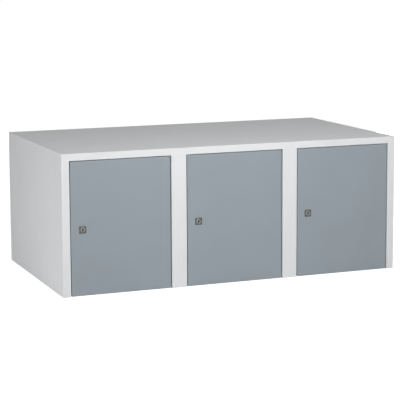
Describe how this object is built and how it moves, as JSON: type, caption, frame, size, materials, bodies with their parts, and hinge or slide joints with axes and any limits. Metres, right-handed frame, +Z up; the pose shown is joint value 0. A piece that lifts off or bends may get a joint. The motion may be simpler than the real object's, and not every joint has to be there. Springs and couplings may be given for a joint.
{
  "type": "compartment cupboard",
  "caption": "Low sheet-steel cupboard unit with a row of equal lockable compartments, each with a flush hinged door, a key-operated cam lock and a light grey welded carcass.",
  "frame": {"origin": "middle of the base, on the plane that the unit stands on, under the centre of the bounding box", "axes": "+X to the right as seen from the front, along the row of doors; +Y to the back, so the doors face -Y; +Z up"},
  "size_m": [0.9, 0.5028, 0.35],
  "materials": {
    "light_grey_paint": "light grey fine-textured powder coat on sheet steel, satin",
    "blue_grey_paint": "blue-grey fine-textured powder coat on sheet steel, satin",
    "zinc_plate": "bright zinc-plated steel",
    "dark_lock_metal": "dark die-cast lock body, satin",
    "nickel": "nickel-plated brass, lightly turned",
    "white_nylon": "natural white nylon",
    "black_rubber": "soft matt black rubber"
  },
  "bodies": {
    "carcass": {"side_panel_left": "light_grey_paint", "side_panel_right": "light_grey_paint", "top_panel": "light_grey_paint", "bottom_panel": "light_grey_paint", "back_panel": "light_grey_paint", "mullion_1": "light_grey_paint", "mullion_2": "light_grey_paint", "partition_1": "light_grey_paint", "partition_2": "light_grey_paint", "hinge_bracket_1": "light_grey_paint", "hinge_bracket_2": "light_grey_paint", "hinge_bracket_3": "light_grey_paint", "lower_buffer_1": "black_rubber", "lower_buffer_2": "black_rubber", "lower_buffer_3": "black_rubber", "upper_buffer_1": "black_rubber", "upper_buffer_2": "black_rubber", "upper_buffer_3": "black_rubber"},
    "door_1": {"door_panel_1": "blue_grey_paint", "door_stiffener_1": "blue_grey_paint", "hinge_plate_1": "blue_grey_paint", "lower_hinge_pin_1": "zinc_plate", "upper_hinge_pin_1": "zinc_plate", "lower_hinge_washer_1": "white_nylon", "upper_hinge_washer_1": "white_nylon", "lock_housing_1": "dark_lock_metal", "lock_nut_1": "zinc_plate"},
    "lock_1": {"lock_cylinder_1": "nickel", "lock_cam_1": "zinc_plate", "cam_screw_1": "zinc_plate"},
    "door_2": {"door_panel_2": "blue_grey_paint", "door_stiffener_2": "blue_grey_paint", "hinge_plate_2": "blue_grey_paint", "lower_hinge_pin_2": "zinc_plate", "upper_hinge_pin_2": "zinc_plate", "lower_hinge_washer_2": "white_nylon", "upper_hinge_washer_2": "white_nylon", "lock_housing_2": "dark_lock_metal", "lock_nut_2": "zinc_plate"},
    "lock_2": {"lock_cylinder_2": "nickel", "lock_cam_2": "zinc_plate", "cam_screw_2": "zinc_plate"},
    "door_3": {"door_panel_3": "blue_grey_paint", "door_stiffener_3": "blue_grey_paint", "hinge_plate_3": "blue_grey_paint", "lower_hinge_pin_3": "zinc_plate", "upper_hinge_pin_3": "zinc_plate", "lower_hinge_washer_3": "white_nylon", "upper_hinge_washer_3": "white_nylon", "lock_housing_3": "dark_lock_metal", "lock_nut_3": "zinc_plate"},
    "lock_3": {"lock_cylinder_3": "nickel", "lock_cam_3": "zinc_plate", "cam_screw_3": "zinc_plate"}
  },
  "joints": [
    {"name": "door_1_hinge", "type": "hinge", "parent": "carcass", "child": "door_1", "pos_m": [-0.1825, -0.2406, 0], "axis": [0, 0, 1], "range_deg": [0, 105]},
    {"name": "door_2_hinge", "type": "hinge", "parent": "carcass", "child": "door_2", "pos_m": [0.1175, -0.2406, 0], "axis": [0, 0, 1], "range_deg": [0, 105]},
    {"name": "door_3_hinge", "type": "hinge", "parent": "carcass", "child": "door_3", "pos_m": [0.4175, -0.2406, 0], "axis": [0, 0, 1], "range_deg": [0, 105]},
    {"name": "lock_1_turn", "type": "hinge", "parent": "door_1", "child": "lock_1", "pos_m": [-0.3993, -0.2486, 0.164], "axis": [0, -1, 0], "range_deg": [0, 90]},
    {"name": "lock_2_turn", "type": "hinge", "parent": "door_2", "child": "lock_2", "pos_m": [-0.0993, -0.2486, 0.164], "axis": [0, -1, 0], "range_deg": [0, 90]},
    {"name": "lock_3_turn", "type": "hinge", "parent": "door_3", "child": "lock_3", "pos_m": [0.2007, -0.2486, 0.164], "axis": [0, -1, 0], "range_deg": [0, 90]}
  ]
}
